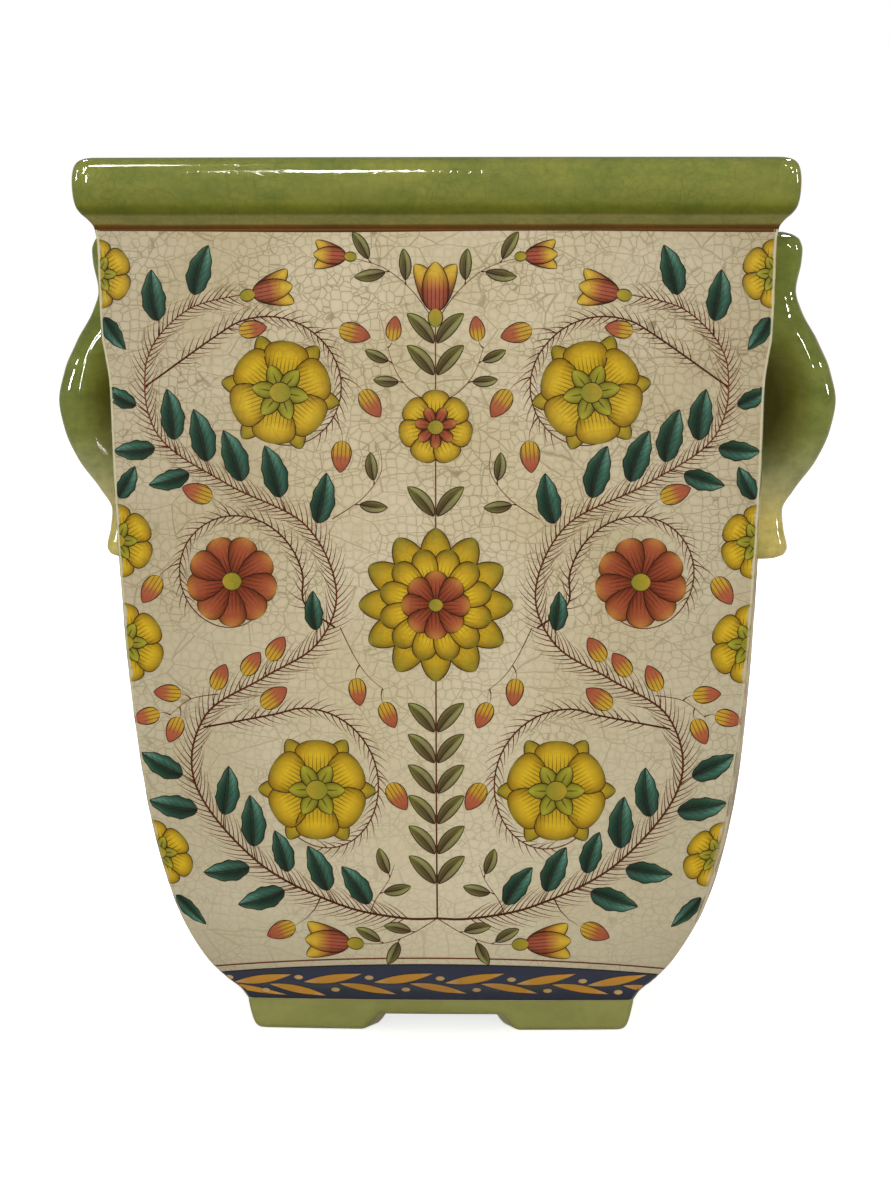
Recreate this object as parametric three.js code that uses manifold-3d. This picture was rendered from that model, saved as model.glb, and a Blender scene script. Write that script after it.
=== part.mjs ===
// Square glazed planter pot, slab built: four curved wall slabs luted at the corners,
// a floor slab, a rolled rim, a bracket foot and two lug handles.
// Millimetres, +Z up, origin on the ground under the middle of the pot, front towards -Y.

import * as THREE from 'three';
import { mergeVertices, toCreasedNormals } from 'three/addons/utils/BufferGeometryUtils.js';
import Module from 'manifold-3d';

// Overall sizes
const potHeight = 315;
const mouthHalf = 118.2;
const wallThickness = 7.5;
const jointGap = 0.3;

// Rim moulding
const rimHeight = 24.7;
const rimOverhang = 7.6;
const rimBulge = 2;
const coveCornerRadius = 0.6;

// Foot ring with its four notches
const footHeight = 11.7;
const footWidth = 14.6;
const footBulge = 2.4;
const footCornerRadius = 2.5;
const notchHeight = 5.8;
const notchHalfTop = 23;
const notchHalfBottom = 31;

// Floor slab and its drain hole
const floorThickness = 9;
const floorCornerRadius = 0.5;
const drainRadius = 11;

// Lug handles
const handleHeight = 123.5;
const handleTuck = 2.2;
const handleReach = 30.4;
const handleHalfBreadth = 18;
const dishDepth = 11.5;
const dishReach = 22;
const dishHalfHeight = 32;

// Grid fineness: columns across a face, steps round a corner, rows up a wall
const faceColumns = 12;
const cornerSteps = 3;
const wallRows = 24;
const handleRows = 40;
const handleSteps = 11;

// The walls from foot to rim. Share of the wall's height, half width across the
// arrises as a share of the mouth, and how far the middle of the face stands out
// past its arrises as a share of the same.
const wallStations = [
  [0.0, 0.597, 0.021],
  [0.014, 0.618, 0.036],
  [0.03, 0.655, 0.054],
  [0.06, 0.711, 0.068],
  [0.118, 0.779, 0.072],
  [0.173, 0.820, 0.071],
  [0.281, 0.874, 0.064],
  [0.46, 0.923, 0.052],
  [0.691, 0.956, 0.041],
  [0.811, 0.966, 0.034],
  [0.842, 0.976, 0.030],
  [0.872, 0.9865, 0.026],
  [0.986, 0.9955, 0.018],
  [1.0, 1.0, 0.017],
];

// The handles from bottom to top. Share of the handle's height, how far it stands
// off the wall as a share of its reach, and half breadth as a share of the belly's.
const handleStations = [
  [0.0, 0.30, 0.50],
  [0.01, 0.405, 0.66],
  [0.03, 0.446, 0.75],
  [0.09, 0.391, 0.69],
  [0.147, 0.365, 0.64],
  [0.21, 0.503, 0.69],
  [0.30, 0.763, 0.86],
  [0.395, 0.934, 0.97],
  [0.485, 1.0, 1.0],
  [0.575, 0.918, 0.97],
  [0.665, 0.727, 0.86],
  [0.76, 0.510, 0.69],
  [0.82, 0.441, 0.64],
  [0.91, 0.507, 0.67],
  [0.945, 0.516, 0.68],
  [0.975, 0.470, 0.61],
  [0.993, 0.368, 0.46],
  [1.0, 0.26, 0.30],
];

// Half the notch's outline in shares: out from the middle between the two half
// widths, and up its height. It leaves the ground, slopes and rounds into the top.
const notchEnd = [
  [1.0, -1.0],
  [1.0, 0.0],
  [0.82, 0.06],
  [0.55, 0.34],
  [0.3, 0.72],
  [0.12, 0.94],
  [0.0, 1.0],
];

// Heights that follow from the sizes
const wallBottom = footHeight + jointGap;
const rimBottom = potHeight - rimHeight;
const wallTop = rimBottom - jointGap;
const floorBottom = footHeight + jointGap;
const floorTop = floorBottom + floorThickness;

// The handle's bulb tucks in behind the cove of the rim
const handleBottom = rimBottom + handleTuck - handleHeight;

// Curve through a column of stations that never swings past its neighbours
function smoothColumn(stations, column) {
  const at = stations.map((s) => s[0]);
  const value = stations.map((s) => s[column]);
  const last = at.length - 1;
  const slope = at.slice(1).map((x, i) => (value[i + 1] - value[i]) / (x - at[i]));
  const tangent = value.map((v, i) => {
    if (i === 0) return slope[0];
    if (i === last) return slope[last - 1];
    const before = slope[i - 1];
    const after = slope[i];
    return before * after <= 0 ? 0 : (2 * before * after) / (before + after);
  });
  return (share) => {
    const x = THREE.MathUtils.clamp(share, 0, 1);
    const i = Math.min(at.findLastIndex((a) => a <= x), last - 1);
    const step = at[i + 1] - at[i];
    const t = (x - at[i]) / step;
    const rise = value[i + 1] - value[i];
    const lead = tangent[i] * step - rise;
    const trail = rise - tangent[i + 1] * step;
    return value[i] + rise * t + t * (1 - t) * ((1 - t) * lead + t * trail);
  };
}

const wallWidthShare = smoothColumn(wallStations, 1);
const wallBulgeShare = smoothColumn(wallStations, 2);

// Levels of the wall's rows, closer where it turns in to the foot and at the shoulder
const wallLevels = Array.from({ length: wallRows + 1 }, (_, i) => {
  const even = i / wallRows;
  return wallBottom + (even + 0.13 * Math.sin(2 * Math.PI * (even - 0.5))) * (wallTop - wallBottom);
});

// A measure as the rows build it: exact at each level, straight in between
function asBuilt(measure) {
  const values = wallLevels.map(measure);
  return (z) => {
    const i = THREE.MathUtils.clamp(wallLevels.findLastIndex((l) => l <= z), 0, wallRows - 1);
    const part = (z - wallLevels[i]) / (wallLevels[i + 1] - wallLevels[i]);
    return THREE.MathUtils.lerp(values[i], values[i + 1], THREE.MathUtils.clamp(part, 0, 1));
  };
}

function wallShare(z) {
  return (z - wallBottom) / (wallTop - wallBottom);
}

// Half width across the arrises, the swell of the face between them, and the half
// width inside, set in square to the slope so that the slab keeps one thickness
const wallHalf = asBuilt((z) => mouthHalf * wallWidthShare(wallShare(z)));
const wallBulge = asBuilt((z) => mouthHalf * wallBulgeShare(wallShare(z)));
const innerHalf = asBuilt((z) => {
  const step = 1 / (wallTop - wallBottom);
  const rise = wallWidthShare(wallShare(z) + step) - wallWidthShare(wallShare(z) - step);
  const slope = (mouthHalf * rise) / 2;
  return mouthHalf * wallWidthShare(wallShare(z)) - wallThickness * Math.hypot(1, slope);
});

// How far a face stands from the pot's axis at a place across it
function faceDistance(half, bulge, across) {
  return half + bulge * (1 - (across / half) ** 2);
}

// A closed body from triangles, turned to face outwards
function bodyFrom(points, triangles) {
  let volume = 0;
  for (const [a, b, c] of triangles) {
    volume += points[a].dot(new THREE.Vector3().crossVectors(points[b], points[c]));
  }
  const index = triangles.flatMap(([a, b, c]) => (volume < 0 ? [a, c, b] : [a, b, c]));
  const geometry = new THREE.BufferGeometry();
  geometry.setAttribute(
    'position',
    new THREE.Float32BufferAttribute(points.flatMap((p) => p.toArray()), 3),
  );
  geometry.setIndex(index);
  return geometry;
}

// Skin between one closed loop of points and the next
function skin(loops, closed) {
  const size = loops[0].length;
  const triangles = [];
  const rows = closed ? loops.length : loops.length - 1;
  for (let row = 0; row < rows; row += 1) {
    const next = (row + 1) % loops.length;
    for (let i = 0; i < size; i += 1) {
      const j = (i + 1) % size;
      const [a, b] = [row * size + i, row * size + j];
      const [c, d] = [next * size + j, next * size + i];
      triangles.push([a, b, c], [a, c, d]);
    }
  }
  return triangles;
}

// Loft: level loops one above the other, closed by a flat cap at each end
function loft(loops) {
  const size = loops[0].length;
  const triangles = skin(loops, false);
  const capOf = (loop) => {
    const contour = loop.map((p) => new THREE.Vector2(p.x, p.y));
    return THREE.ShapeUtils.triangulateShape(contour, []);
  };
  const first = (loops.length - 1) * size;
  for (const [a, b, c] of capOf(loops[0])) triangles.push([a, c, b]);
  for (const [a, b, c] of capOf(loops.at(-1))) triangles.push([first + a, first + b, first + c]);
  return bodyFrom(loops.flat(), triangles);
}

// Ring: section loops carried round the pot until they meet their start
function ring(loops) {
  return bodyFrom(loops.flat(), skin(loops, true));
}

// Outline of the pot in plan, as a list of places that every size of it shares:
// the four bulged faces, and a rounded corner between each and the next.
const planPlaces = [0, 1, 2, 3].flatMap((side) => [
  ...Array.from({ length: faceColumns + 1 }, (_, i) => ({
    side,
    across: (2 * i) / faceColumns - 1,
    turn: 0,
  })),
  ...Array.from({ length: cornerSteps - 1 }, (_, i) => ({
    side,
    across: 1,
    turn: (i + 1) / cornerSteps,
  })),
]);

function planPoint({ side, across, turn }, half, bulge, radius, z) {
  const flat = half - radius;
  const x = across * flat + radius * Math.sin((turn * Math.PI) / 2);
  const y = turn
    ? flat + radius * Math.cos((turn * Math.PI) / 2)
    : half + bulge * (1 - across ** 2);
  const angle = (side * Math.PI) / 2;
  return new THREE.Vector3(
    x * Math.cos(angle) + y * Math.sin(angle),
    x * Math.sin(angle) - y * Math.cos(angle),
    z,
  );
}

// Wall slab for the front: outer row of points, then the inner row back, with both
// ends cut on the corner's diagonal and set back half the joint
function wallLoop(z) {
  const setBack = (jointGap / 2) * Math.SQRT2;
  const row = (half) => Array.from({ length: faceColumns + 1 }, (_, i) => {
    const share = (2 * i) / faceColumns - 1;
    const x = share * (half - setBack);
    const distance = half + wallBulge(z) * (1 - share ** 2);
    return new THREE.Vector3(x, -distance, z);
  });
  return [...row(wallHalf(z)), ...row(innerHalf(z)).reverse()];
}

function wallSlab(angle) {
  return loft(wallLevels.map(wallLoop)).rotateZ(angle);
}

// Floor slab: fits inside the sloping walls, with a round drain hole
function floorSlab() {
  const levels = [...wallLevels.filter((z) => z < floorTop - jointGap), floorTop];
  const floorEdge = (place, z) => {
    const half = innerHalf(z) - jointGap;
    return planPoint(place, half, wallBulge(z), floorCornerRadius, z);
  };
  const hole = (place, z) => planPoint(place, 1, 0, 0, 0).setLength(drainRadius).setZ(z);
  return ring(planPlaces.map((place) => [
    ...levels.map((z) => floorEdge(place, z)),
    hole(place, floorTop),
    hole(place, floorBottom),
  ]));
}

// Rim moulding: a cove springing from the wall, a full roll and a flush inside.
// Shares of the overhang outwards and of the rim's height upwards.
const rimOutline = [
  [0.0, 0.0],
  [0.06, 0.05],
  [0.19, 0.1],
  [0.37, 0.155],
  [0.6, 0.215],
  [0.8, 0.295],
  [0.91, 0.39],
  [0.97, 0.5],
  [1.0, 0.64],
  [0.985, 0.75],
  [0.94, 0.83],
  [0.85, 0.9],
  [0.66, 0.957],
  [0.34, 0.99],
  [-0.05, 1.0],
  [-0.42, 0.985],
  [-0.74, 0.93],
  [-0.93, 0.84],
  [-0.99, 0.72],
];

function rimSection(place, grow) {
  const outside = rimOutline.map(([out, up], i) => {
    const before = rimOutline[Math.max(i - 1, 0)];
    const after = rimOutline[Math.min(i + 1, rimOutline.length - 1)];
    const run = (after[0] - before[0]) * rimOverhang;
    const rise = (after[1] - before[1]) * rimHeight;
    const length = Math.hypot(run, rise);
    return {
      half: mouthHalf + out * rimOverhang + (grow * rise) / length,
      z: rimBottom + up * rimHeight - (grow * run) / length,
    };
  });
  const inside = innerHalf(wallTop) - grow;
  outside.push({ half: inside, z: rimBottom + 0.5 * rimHeight });
  outside.push({ half: inside, z: rimBottom - grow });
  return outside.map(({ half, z }) => {
    const radius = coveCornerRadius + Math.max(half - mouthHalf, 0) * 0.8;
    return planPoint(place, half, rimBulge, radius, z);
  });
}

function rimRing(grow) {
  return ring(planPlaces.map((place) => rimSection(place, grow)));
}

// Foot ring before its notches: shares inwards of the ring's width and upwards
const footOutline = [
  [0.0, 1.0],
  [0.04, 0.7],
  [0.09, 0.42],
  [0.135, 0.24],
  [0.19, 0.1],
  [0.31, 0.0],
  [0.94, 0.0],
  [1.0, 0.09],
  [1.0, 1.0],
];

function footRing() {
  const outer = mouthHalf * wallStations[0][1];
  return ring(planPlaces.map((place) => footOutline.map(([inwards, up]) => {
    const half = outer - inwards * footWidth;
    return planPoint(place, half, footBulge, footCornerRadius, up * footHeight);
  })));
}

// Prism that opens the notches of two opposite sides at once
function notchPrism() {
  const side = notchEnd.map(([out, up]) => new THREE.Vector2(
    notchHalfTop + out * (notchHalfBottom - notchHalfTop),
    up * notchHeight,
  ));
  const mirrored = side.map((p) => new THREE.Vector2(-p.x, p.y)).reverse();
  const length = 2 * mouthHalf;
  const prism = new THREE.ExtrudeGeometry(new THREE.Shape([...side, ...mirrored]), {
    depth: length,
    bevelEnabled: false,
  });
  return prism.translate(0, 0, -length / 2).rotateX(Math.PI / 2);
}

// Handle on the right-hand side: level sections lofted from bottom to top. Each
// starts and ends on the wall, bulges to its reach and is dished front and back
// beside the wall for a finger and thumb.
const handleReachShare = smoothColumn(handleStations, 1);
const handleBreadthShare = smoothColumn(handleStations, 2);

function dish(off, z) {
  const middle = handleBottom + 0.475 * handleHeight;
  const far = (off / dishReach) ** 2 + ((z - middle) / dishHalfHeight) ** 2;
  return far < 1 ? dishDepth * (1 - far) ** 1.5 : 0;
}

function handleLoop(share) {
  const z = handleBottom + share * handleHeight;
  const reach = handleReach * handleReachShare(share);
  const breadth = handleHalfBreadth * handleBreadthShare(share);
  const wallAt = (y) => faceDistance(wallHalf(z), wallBulge(z), y) + jointGap;
  const flank = Array.from({ length: handleSteps + 1 }, (_, i) => {
    const angle = (i / handleSteps) * (Math.PI / 2);
    const off = reach * Math.cos(angle) ** 0.85;
    const y = breadth * Math.sin(angle) ** 0.75 - dish(off, z);
    return { off, y: Math.max(y, 0) };
  });
  const backEdge = flank.at(-1).y;
  const onWall = [0.5, 0, -0.5].map((part) => {
    const y = part * backEdge;
    return new THREE.Vector3(wallAt(y), y, z);
  });
  const back = flank.map(({ off, y }) => new THREE.Vector3(wallAt(y) + off, y, z));
  const front = flank.slice(1).map(({ off, y }) => new THREE.Vector3(wallAt(y) + off, -y, z));
  return [...back, ...onWall, ...front.reverse()];
}

function handleBody() {
  const loops = Array.from({ length: handleRows + 1 }, (_, i) => {
    const even = i / handleRows;
    return handleLoop(even - 0.09 * Math.sin(2 * Math.PI * even));
  });
  return loft(loops);
}

// Solid booleans
const wasm = await Module();
wasm.setup();

function toSolid(geometry) {
  const bare = new THREE.BufferGeometry();
  bare.setAttribute('position', geometry.getAttribute('position').clone());
  if (geometry.index) bare.setIndex(geometry.index.clone());
  const merged = mergeVertices(bare, 1e-4);
  return new wasm.Manifold(new wasm.Mesh({
    numProp: 3,
    vertProperties: new Float32Array(merged.getAttribute('position').array),
    triVerts: new Uint32Array(merged.index.array),
  }));
}

function toGeometry(solid) {
  const mesh = solid.getMesh();
  const geometry = new THREE.BufferGeometry();
  geometry.setAttribute('position', new THREE.Float32BufferAttribute(mesh.vertProperties, 3));
  geometry.setIndex([...mesh.triVerts]);
  return geometry;
}

function cut(geometry, tools) {
  return toGeometry(tools.reduce((solid, tool) => solid.subtract(toSolid(tool)), toSolid(geometry)));
}

// Glazes
const creamGlaze = new THREE.MeshStandardMaterial({ color: 0xd8ccb2, roughness: 0.25, metalness: 0 });
creamGlaze.name = 'cream_crackle_glaze';
const greenGlaze = new THREE.MeshStandardMaterial({ color: 0x7d8743, roughness: 0.2, metalness: 0 });
greenGlaze.name = 'green_glaze';
const liningGlaze = new THREE.MeshStandardMaterial({ color: 0xd2c8b4, roughness: 0.35, metalness: 0 });
liningGlaze.name = 'plain_lining_glaze';

function piece(name, geometry, material) {
  const mesh = new THREE.Mesh(toCreasedNormals(geometry, 0.5), material);
  mesh.name = name;
  return mesh;
}

// Assembly
const footNotches = [notchPrism(), notchPrism().rotateZ(Math.PI / 2)];
const rightHandle = cut(handleBody(), [rimRing(jointGap)]);
const leftHandle = rightHandle.clone().rotateZ(Math.PI);

const pot = new THREE.Group();
pot.name = 'square_planter_pot';
pot.add(
  piece('foot_ring', cut(footRing(), footNotches), greenGlaze),
  piece('floor_slab', floorSlab(), liningGlaze),
  piece('front_wall', wallSlab(0), creamGlaze),
  piece('right_wall', wallSlab(Math.PI / 2), creamGlaze),
  piece('back_wall', wallSlab(Math.PI), creamGlaze),
  piece('left_wall', wallSlab(-Math.PI / 2), creamGlaze),
  piece('rim_moulding', rimRing(0), greenGlaze),
  piece('right_handle', rightHandle, greenGlaze),
  piece('left_handle', leftHandle, greenGlaze),
);

export default pot;
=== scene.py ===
# %% [markdown]
# # A square glazed planter pot, dressed for the camera
# The pot is slab-built earthenware: four curved walls luted at the corners, a rolled
# green rim, a green bracket foot and two green lug handles. Its walls carry a flower
# print under a cream glaze that has crackled all over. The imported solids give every
# size, and each cell below adds one piece or one finish on top of them.

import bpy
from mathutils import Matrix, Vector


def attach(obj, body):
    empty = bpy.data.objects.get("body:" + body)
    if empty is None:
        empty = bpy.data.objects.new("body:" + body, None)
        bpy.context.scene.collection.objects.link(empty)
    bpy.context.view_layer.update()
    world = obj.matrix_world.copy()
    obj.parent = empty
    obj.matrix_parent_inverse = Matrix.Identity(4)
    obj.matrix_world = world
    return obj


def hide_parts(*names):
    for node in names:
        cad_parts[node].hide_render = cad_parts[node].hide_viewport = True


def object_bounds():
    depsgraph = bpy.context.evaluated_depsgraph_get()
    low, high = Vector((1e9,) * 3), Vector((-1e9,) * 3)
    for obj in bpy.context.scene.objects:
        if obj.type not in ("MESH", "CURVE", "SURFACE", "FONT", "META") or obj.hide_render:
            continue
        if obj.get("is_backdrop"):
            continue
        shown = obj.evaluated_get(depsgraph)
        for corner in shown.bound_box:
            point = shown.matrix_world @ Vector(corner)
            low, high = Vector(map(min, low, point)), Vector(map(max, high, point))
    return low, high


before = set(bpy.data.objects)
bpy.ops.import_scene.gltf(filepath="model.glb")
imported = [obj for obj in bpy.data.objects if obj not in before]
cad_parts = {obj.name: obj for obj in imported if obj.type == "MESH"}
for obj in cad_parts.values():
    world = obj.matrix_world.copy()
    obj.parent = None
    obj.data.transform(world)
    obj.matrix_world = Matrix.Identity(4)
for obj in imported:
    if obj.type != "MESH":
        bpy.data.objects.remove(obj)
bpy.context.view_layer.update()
print("solids", sorted(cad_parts))

# %% Tools for the whole lesson
import math

import bpy
import numpy as np
from mathutils import Vector

MM = 0.001
scene = bpy.context.scene
scene.view_settings.view_transform = "Standard"

# %% [markdown]
# ## Camera
# The pot was photographed from about 1.3 m, level with its shoulder and a little to the
# right, with a long lens. Both handles show the same width from there, and the far
# edges stay nearly parallel. The camera aims at the middle of the pot.

# %% Camera
STAND_BACK = 1.3
EYE_LEVEL = 0.2572
TO_THE_RIGHT = math.radians(1.8)
lens = bpy.data.cameras.new("camera")
lens.sensor_width = 36
lens.lens = 103.3
camera = bpy.data.objects.new("camera", lens)
scene.collection.objects.link(camera)
camera.location = (STAND_BACK * math.sin(TO_THE_RIGHT), -STAND_BACK * math.cos(TO_THE_RIGHT), EYE_LEVEL)
aim = Vector((-0.0005, 0, 0.1549)) - camera.location
camera.rotation_euler = aim.to_track_quat("-Z", "Y").to_euler()
scene.camera = camera
print("camera stands at", [round(v, 3) for v in camera.location])

# %% [markdown]
# ## The pot's profile
# A potter would cut the four slabs against one template. The template is two curves of
# height: half the width across the corners, and how far each face swells out past
# them. Both are read at a few stations and joined by a curve that never overshoots.

# %% Sizes in millimetres
MOUTH_HALF = 118.2
WALL_THICKNESS = 7.5
FOOT_HEIGHT = 11.7
FOOT_WIDTH = 14.6
FOOT_SWELL = 2.4
RIM_BOTTOM = 290.3
RIM_HEIGHT = 24.7
RIM_OVERHANG = 7.6
RIM_SWELL = 2.0
WALL_BOTTOM = FOOT_HEIGHT + 0.1
WALL_TOP = RIM_BOTTOM + 0.1
ARRIS_RADIUS = 1.8
FIRST_STATION = 12.0
STATION_SPAN = 278.0

# Share of the span, half width and swell as shares of the mouth's half width
WALL_STATIONS = np.array([
    [0.0, 0.597, 0.021], [0.014, 0.618, 0.036], [0.03, 0.655, 0.054], [0.06, 0.711, 0.068],
    [0.118, 0.779, 0.072], [0.173, 0.820, 0.071], [0.281, 0.874, 0.064], [0.46, 0.923, 0.052],
    [0.691, 0.956, 0.041], [0.811, 0.966, 0.034], [0.842, 0.976, 0.030], [0.872, 0.9865, 0.026],
    [0.986, 0.9955, 0.018], [1.0, 1.0, 0.017],
])


# %% Curves through stations
def smooth(stations, column):
    """Curve through one column of stations against the first column. Between two
    stations it is a cubic, and at a station its slope is the harmonic mean of the
    slopes on both sides, or level where they differ in sign."""
    at, value = stations[:, 0], stations[:, column]
    slope = np.diff(value) / np.diff(at)
    before, after = slope[:-1], slope[1:]
    agree = before * after > 0
    total = np.where(agree, before + after, 1)
    middle = np.where(agree, 2 * before * after / total, 0)
    tangent = np.concatenate([slope[:1], middle, slope[-1:]])

    def curve(x):
        x = np.clip(x, at[0], at[-1])
        i = np.clip(np.searchsorted(at, x, side="right") - 1, 0, len(at) - 2)
        step = at[i + 1] - at[i]
        rise = value[i + 1] - value[i]
        t = (x - at[i]) / step
        lead = tangent[i] * step - rise
        trail = rise - tangent[i + 1] * step
        return value[i] + rise * t + t * (1 - t) * ((1 - t) * lead + t * trail)

    return curve


width_share = smooth(WALL_STATIONS, 1)
swell_share = smooth(WALL_STATIONS, 2)


def wall_half(z):
    """Half the pot's width across the corners at a height."""
    return MOUTH_HALF * width_share((z - FIRST_STATION) / STATION_SPAN)


def wall_swell(z):
    """How far the middle of a face stands out past the corners at a height."""
    return MOUTH_HALF * swell_share((z - FIRST_STATION) / STATION_SPAN)


print("half widths", [round(float(wall_half(z)), 1) for z in (12, 60, 150, 290)])

# %% [markdown]
# ## The skin of the pot as one map
# Everything on the walls, from the slabs to the last printed hair, is placed by one
# map: a distance across a face from its middle and a height give a point in space. A
# face is a shallow parabola that runs into a small round arris on the corner's
# diagonal, and a distance past the corner carries on round it on to the next face. A
# print laid out flat can then be wrapped on the pot as a potter lays a transfer.


# %% Map from a flat layout to the pot
def turned(points, quarter):
    """Points turned about the pot's axis by a number of quarter turns."""
    angle = quarter * math.pi / 2
    x, y, z = np.moveaxis(points, -1, 0)
    across = x * np.cos(angle) - y * np.sin(angle)
    back = x * np.sin(angle) + y * np.cos(angle)
    return np.stack([across, back, z], axis=-1)


def skin_place(across, z):
    """Point on the skin in millimetres. With c the half width less the arris radius r,
    and a the slope angle where the face ends, the face stands c + r cos(a) +
    B (1 - (x / X)^2) from the axis as far as X = c + r sin(a), and B is what brings
    its middle out to the half width and the swell. From there the arris is an arc of
    radius r about (c, c), as far as the diagonal."""
    across, z = np.broadcast_arrays(np.asarray(across, float), np.asarray(z, float))
    half, swell = wall_half(z), wall_swell(z)
    side = np.round(across / (2 * half))
    local = across - 2 * half * side
    lean = np.arctan(2 * swell / half)
    centre = half - ARRIS_RADIUS
    end = centre + ARRIS_RADIUS * np.sin(lean)
    edge = centre + ARRIS_RADIUS * np.cos(lean)
    away = np.abs(local)
    on_face = np.minimum(away, end)
    turn = lean + np.clip((away - end) / (half - end), 0, 1) * (math.pi / 4 - lean)
    face = edge + (half + swell - edge) * (1 - (on_face / end) ** 2)
    round_it = away > end
    x = np.where(round_it, centre + ARRIS_RADIUS * np.sin(turn), away) * np.sign(local)
    out = np.where(round_it, centre + ARRIS_RADIUS * np.cos(turn), face)
    return turned(np.stack([x, -out, z], axis=-1), side)


def on_skin(across, z, lift=0.0):
    """Point held a little way off the skin, along its outward normal. The normal is
    the cross product of the skin's two tangents, from places a tenth of a
    millimetre apart."""
    step = 0.05
    along = skin_place(across + step, z) - skin_place(across - step, z)
    up = skin_place(across, z + step) - skin_place(across, z - step)
    normal = np.cross(along, up)
    normal /= np.linalg.norm(normal, axis=-1, keepdims=True)
    return skin_place(across, z) + normal * np.asarray(lift)[..., None]


print("middle of the front at 250 mm", skin_place(0, 250).round(1))

# %% [markdown]
# ## From arrays to meshes
# Each piece is a grid of points, and its faces follow from the grid's numbering, so a
# piece needs no modelling by hand. The points go in millimetres and Blender gets metres.


# %% Grids and slabs
def quads(rows, columns, close_rows=False, close_columns=False):
    """Corner numbers of the quads between neighbouring points of a grid that is
    numbered row by row. A closed direction joins its last line to its first."""
    number = np.arange(rows * columns).reshape(rows, columns)
    if close_rows:
        number = np.vstack([number, number[:1]])
    if close_columns:
        number = np.hstack([number, number[:, :1]])
    corners = [number[:-1, :-1], number[:-1, 1:], number[1:, 1:], number[1:, :-1]]
    return np.stack(corners, axis=-1).reshape(-1, 4)


def slab(outer, inner):
    """Closed body between two grids of one size: the quads of each, the inner ones
    turned round, and a strip of quads along all four edges."""
    rows, columns = outer.shape[:2]
    count = rows * columns
    number = np.arange(count).reshape(rows, columns)
    border = np.concatenate([number[0], number[1:, -1], number[-1, -2::-1], number[-2:0:-1, 0]])
    ahead = np.roll(border, -1)
    strip = np.stack([ahead, border, border + count, ahead + count], axis=-1)
    skin = quads(rows, columns)
    points = np.concatenate([outer.reshape(-1, 3), inner.reshape(-1, 3)])
    return points, np.concatenate([skin, skin[:, ::-1] + count, strip])


def add_piece(name, points, faces, values=None, sharp=50):
    """Mesh object at the origin, on the pot's one body, from points in millimetres and
    lists of corners. Values are numbers for each point, which a material can read."""
    mesh = bpy.data.meshes.new(name)
    mesh.from_pydata((np.asarray(points) * MM).tolist(), [], [list(f) for f in faces])
    mesh.shade_smooth()
    mesh.set_sharp_from_angle(angle=math.radians(sharp))
    for label, numbers in (values or {}).items():
        layer = mesh.attributes.new(label, "FLOAT", "POINT")
        layer.data.foreach_set("value", np.asarray(numbers, np.float32).ravel())
    piece = bpy.data.objects.new(name, mesh)
    scene.collection.objects.link(piece)
    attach(piece, "root")
    print(f"{name}: {len(mesh.loops) - 2 * len(mesh.polygons)} triangles")
    return piece


# %% [markdown]
# ## Four walls
# Each slab is the map read on a grid that is finer at the arrises and where the wall
# turns in, with its inner face set in square to the slope. The slabs meet on the
# corner's diagonal, so the glaze seems to run round the corner without a seam. A
# value on each point says how far it is from the nearest arris, where a real glaze
# thins and shows a pale line, and towards which the cream is painted darker as shade.


# %% Walls
def to_arris(across, z):
    """Distance along the skin to the nearest corner of the pot."""
    half = wall_half(z)
    return half - np.abs(across - 2 * half * np.round(across / (2 * half)))


WALL_ROWS = 121
FACE_COLUMNS = 61
ARRIS_COLUMNS = 6
even = np.linspace(0, 1, WALL_ROWS)[:, None]
level = even + 0.13 * np.sin(2 * math.pi * (even - 0.5))
wall_z = WALL_BOTTOM + level * (WALL_TOP - WALL_BOTTOM)
near_corner = np.linspace(0, 1, ARRIS_COLUMNS)[None, :-1] * ARRIS_RADIUS
half = wall_half(wall_z)
across = np.hstack([
    near_corner - half,
    np.linspace(-1, 1, FACE_COLUMNS)[None, :] * (half - ARRIS_RADIUS),
    half - near_corner[:, ::-1],
])
slope = (wall_half(wall_z + 1) - wall_half(wall_z - 1)) / 2
inner_half = half - WALL_THICKNESS * np.hypot(1, slope)
share = across / half
inner = np.stack(np.broadcast_arrays(
    share * inner_half,
    -inner_half - wall_swell(wall_z) * (1 - share ** 2),
    wall_z,
), axis=-1)
wall_points, wall_faces = slab(on_skin(across, wall_z), inner)
arris = np.tile(to_arris(across, wall_z).ravel(), 2)
walls = []
for quarter, side in enumerate(("front", "right", "back", "left")):
    piece = add_piece("wall_" + side, turned(wall_points, quarter), wall_faces, {"arris": arris})
    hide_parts(side + "_wall")
    walls.append(piece)

# %% [markdown]
# ## Rim and foot
# The rim was rolled from a coil and smoothed with a wet leather, and the foot was
# built from strips with a notch cut in each side. Both are one section carried round
# the pot's plan, which has four slightly swollen sides and four round corners. The
# foot's section is squeezed upwards where a notch passes, so its wet edge stays round.


# %% Plan of the pot and a smooth curve
def through(points, steps):
    """Curve through points: between two of them a cubic, whose slope at a point is
    half the way from the point before it to the point after it."""
    p = np.asarray(points, float)
    ahead = np.concatenate([p[1:], p[-1:]])
    behind = np.concatenate([p[:1], p[:-1]])
    slope = (ahead - behind) / 2
    t = np.linspace(0, 1, steps, endpoint=False)[None, :, None]
    start, end = p[:-1, None], p[1:, None]
    rise = (
        (2 * t ** 3 - 3 * t ** 2 + 1) * start
        + (t ** 3 - 2 * t ** 2 + t) * slope[:-1, None]
        + (3 * t ** 2 - 2 * t ** 3) * end
        + (t ** 3 - t ** 2) * slope[1:, None]
    )
    return np.concatenate([rise.reshape(-1, p.shape[1]), p[-1:]])


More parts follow.
